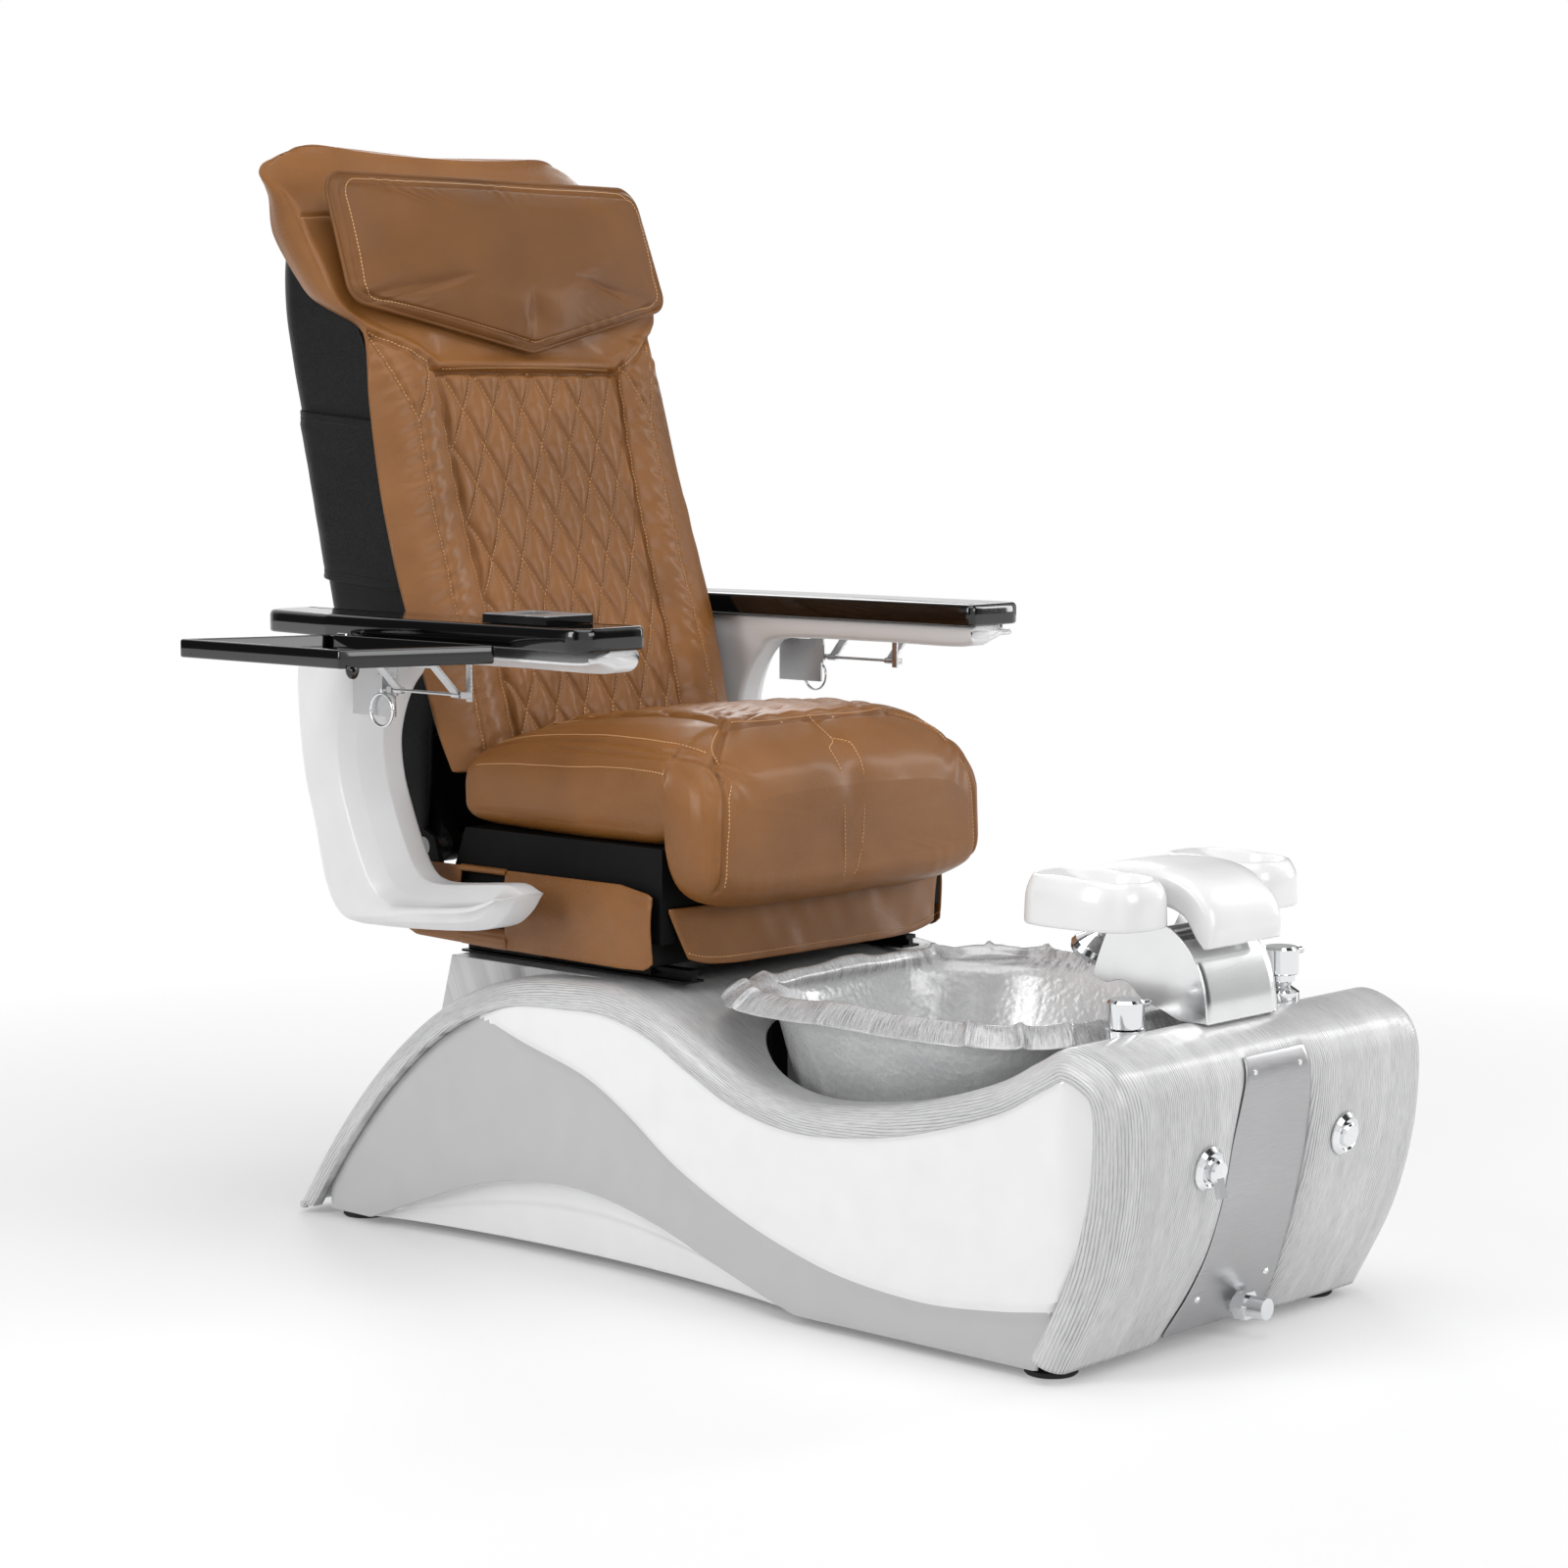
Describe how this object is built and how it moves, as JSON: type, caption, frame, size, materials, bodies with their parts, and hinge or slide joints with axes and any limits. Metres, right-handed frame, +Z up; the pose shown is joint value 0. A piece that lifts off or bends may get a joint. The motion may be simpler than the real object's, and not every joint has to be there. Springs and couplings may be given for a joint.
{
  "type": "pedicure spa chair",
  "caption": "Massage armchair on slide rails over a moulded foot-bath base with footrest, spray, valves, reclining back and lift-up arms with folding trays.",
  "frame": {"origin": "on the floor, under the middle of the whole chair", "axes": "+Z up, the chair faces -Y, the sitter's right hand is -X"},
  "size_m": [1.2, 1.4674, 1.3807],
  "materials": {
    "grain_shell": "white wood grain, satin",
    "white_panel": "high gloss",
    "steel_frame": "black powder coat",
    "stainless": "brushed",
    "chrome": "polished",
    "rubber": "matt",
    "basin_silver": "textured metallic silver",
    "inner_plastic": "matt",
    "white_plastic": "satin",
    "tan_leather": "satin",
    "black_leather": "satin",
    "black_gloss": "piano gloss",
    "soft_white": "soft skin foam"
  },
  "bodies": {
    "base": {"base_shell": "grain_shell", "side_panel_right": "white_panel", "side_panel_left": "white_panel", "toe_panels": "white_panel", "base_frame": "steel_frame", "levelling_feet": "rubber", "front_panel": "stainless", "panel_screws": "chrome", "basin": "basin_silver", "drain_flange": "chrome", "jet_cover": "chrome", "jet_motor": "inner_plastic", "drain_pump": "inner_plastic", "valve_collars": "chrome", "knob_bezels": "chrome", "footrest_bracket": "stainless", "spray_holder": "chrome", "slide_rails": "steel_frame"},
    "jet_impeller": {"jet_impeller": "white_plastic"},
    "drain_stopper": {"drain_stopper": "chrome"},
    "valve_knob_right": {"valve_knob_right": "chrome"},
    "valve_knob_left": {"valve_knob_left": "chrome"},
    "drain_knob": {"drain_knob": "chrome"},
    "air_button": {"air_button": "chrome"},
    "spray_head": {"spray_head": "chrome"},
    "footrest": {"footrest_axle": "stainless", "footrest_saddle": "soft_white", "footrest_pads": "soft_white"},
    "seat": {"slide_carriage": "steel_frame", "seat_frame": "steel_frame", "seat_pan": "inner_plastic", "seat_cushion": "tan_leather", "skirt_right": "tan_leather", "skirt_left": "tan_leather", "skirt_front": "tan_leather", "recline_shaft": "stainless", "recline_motor": "inner_plastic", "arm_pivots": "steel_frame"},
    "back": {"back_frame": "steel_frame", "back_shell": "black_leather", "back_pad": "tan_leather", "head_wings": "tan_leather", "head_pillow": "tan_leather", "wrap_strap": "black_leather"},
    "massage_carriage": {"massage_carriage": "inner_plastic"},
    "massage_rollers": {"massage_rollers": "rubber"},
    "arm_right": {"arm_frame_right": "white_plastic", "arm_top_right": "black_gloss", "tray_hinge_right": "stainless", "control_panel": "black_gloss"},
    "arm_left": {"arm_frame_left": "white_plastic", "arm_top_left": "black_gloss", "tray_hinge_left": "stainless"},
    "tray_right": {"tray_right": "black_gloss"},
    "tray_left": {"tray_left": "black_gloss"},
    "tray_brace_right": {"tray_brace_right": "stainless"},
    "tray_brace_left": {"tray_brace_left": "stainless"},
    "release_ring_right": {"release_ring_right": "chrome"},
    "release_ring_left": {"release_ring_left": "chrome"},
    "control_key": {"control_key": "inner_plastic"}
  },
  "joints": [
    {"name": "seat_slide", "type": "slide", "parent": "base", "child": "seat", "axis": [0, -1, 0], "range_m": [-0.06, 0.09]},
    {"name": "back_recline", "type": "hinge", "parent": "seat", "child": "back", "pos_m": [0, 0.42, 0.5], "axis": [-1, 0, 0], "range_deg": [0, 30]},
    {"name": "massage_travel", "type": "slide", "parent": "back", "child": "massage_carriage", "axis": [0, 0.2756, 0.9613], "range_m": [0, 0.32]},
    {"name": "roller_tilt", "type": "hinge", "parent": "massage_carriage", "child": "massage_rollers", "pos_m": [0, 0.46483, 0.72781], "axis": [1, 0, 0], "range_deg": [-10, 10]},
    {"name": "arm_lift_right", "type": "hinge", "parent": "seat", "child": "arm_right", "pos_m": [-0.345, 0.3, 0.442], "axis": [-1, 0, 0], "range_deg": [0, 40]},
    {"name": "arm_lift_left", "type": "hinge", "parent": "seat", "child": "arm_left", "pos_m": [0.345, 0.3, 0.442], "axis": [-1, 0, 0], "range_deg": [0, 40]},
    {"name": "tray_fold_right", "type": "hinge", "parent": "arm_right", "child": "tray_right", "pos_m": [-0.41, 0.26, 0.766], "axis": [0, -1, 0], "range_deg": [0, 90]},
    {"name": "tray_fold_left", "type": "hinge", "parent": "arm_left", "child": "tray_left", "pos_m": [0.41, 0.26, 0.766], "axis": [0, 1, 0], "range_deg": [0, 90]},
    {"name": "stay_fold_right", "type": "hinge", "parent": "arm_right", "child": "tray_brace_right", "pos_m": [-0.394, 0.26, 0.712], "axis": [0, -1, 0], "range_deg": [0, 135]},
    {"name": "stay_fold_left", "type": "hinge", "parent": "arm_left", "child": "tray_brace_left", "pos_m": [0.394, 0.26, 0.712], "axis": [0, 1, 0], "range_deg": [0, 135]},
    {"name": "ring_pull_right", "type": "slide", "parent": "arm_right", "child": "release_ring_right", "axis": [0, 0, -1], "range_m": [0, 0.006], "stiffness_N_per_m": 300},
    {"name": "ring_pull_left", "type": "slide", "parent": "arm_left", "child": "release_ring_left", "axis": [0, 0, -1], "range_m": [0, 0.006], "stiffness_N_per_m": 300},
    {"name": "key_rock", "type": "hinge", "parent": "arm_right", "child": "control_key", "pos_m": [-0.35, 0.0775, 0.8063], "axis": [1, 0, 0], "range_deg": [-4, 4], "stiffness_Nm_per_rad": 0.4},
    {"name": "footrest_tilt", "type": "hinge", "parent": "base", "child": "footrest", "pos_m": [0, -0.575, 0.462], "axis": [1, 0, 0], "range_deg": [-8, 12]},
    {"name": "valve_turn_right", "type": "hinge", "parent": "base", "child": "valve_knob_right", "pos_m": [-0.148, -0.612, 0.38], "axis": [0, 0, 1], "range_deg": [0, 90]},
    {"name": "valve_turn_left", "type": "hinge", "parent": "base", "child": "valve_knob_left", "pos_m": [0.148, -0.612, 0.4], "axis": [0, 0, 1], "range_deg": [0, 90]},
    {"name": "drain_turn", "type": "hinge", "parent": "base", "child": "drain_knob", "pos_m": [-0.131, -0.71459, 0.228], "axis": [0, -0.9909, -0.1349], "range_deg": [0, 90]},
    {"name": "stopper_lift", "type": "slide", "parent": "base", "child": "drain_stopper", "axis": [0, 0, 1], "range_m": [0, 0.008]},
    {"name": "air_press", "type": "slide", "parent": "base", "child": "air_button", "axis": [0, 0.9909, 0.1349], "range_m": [0, 0.004], "stiffness_N_per_m": 300},
    {"name": "spray_pull", "type": "slide", "parent": "base", "child": "spray_head", "axis": [0, 0.4695, -0.8829], "range_m": [0, 0.03]},
    {"name": "jet_spin", "type": "hinge", "parent": "base", "child": "jet_impeller", "pos_m": [0, -0.53787, 0.224], "axis": [0, 0.9816, 0.1908], "continuous": true}
  ],
  "couplings": [
    {"joint": "stay_fold_right", "follows": "tray_fold_right", "ratio": 1.5},
    {"joint": "stay_fold_left", "follows": "tray_fold_left", "ratio": 1.5},
    {"joint": "stopper_lift", "follows": "drain_turn", "m_per_rad": 0.005093}
  ]
}
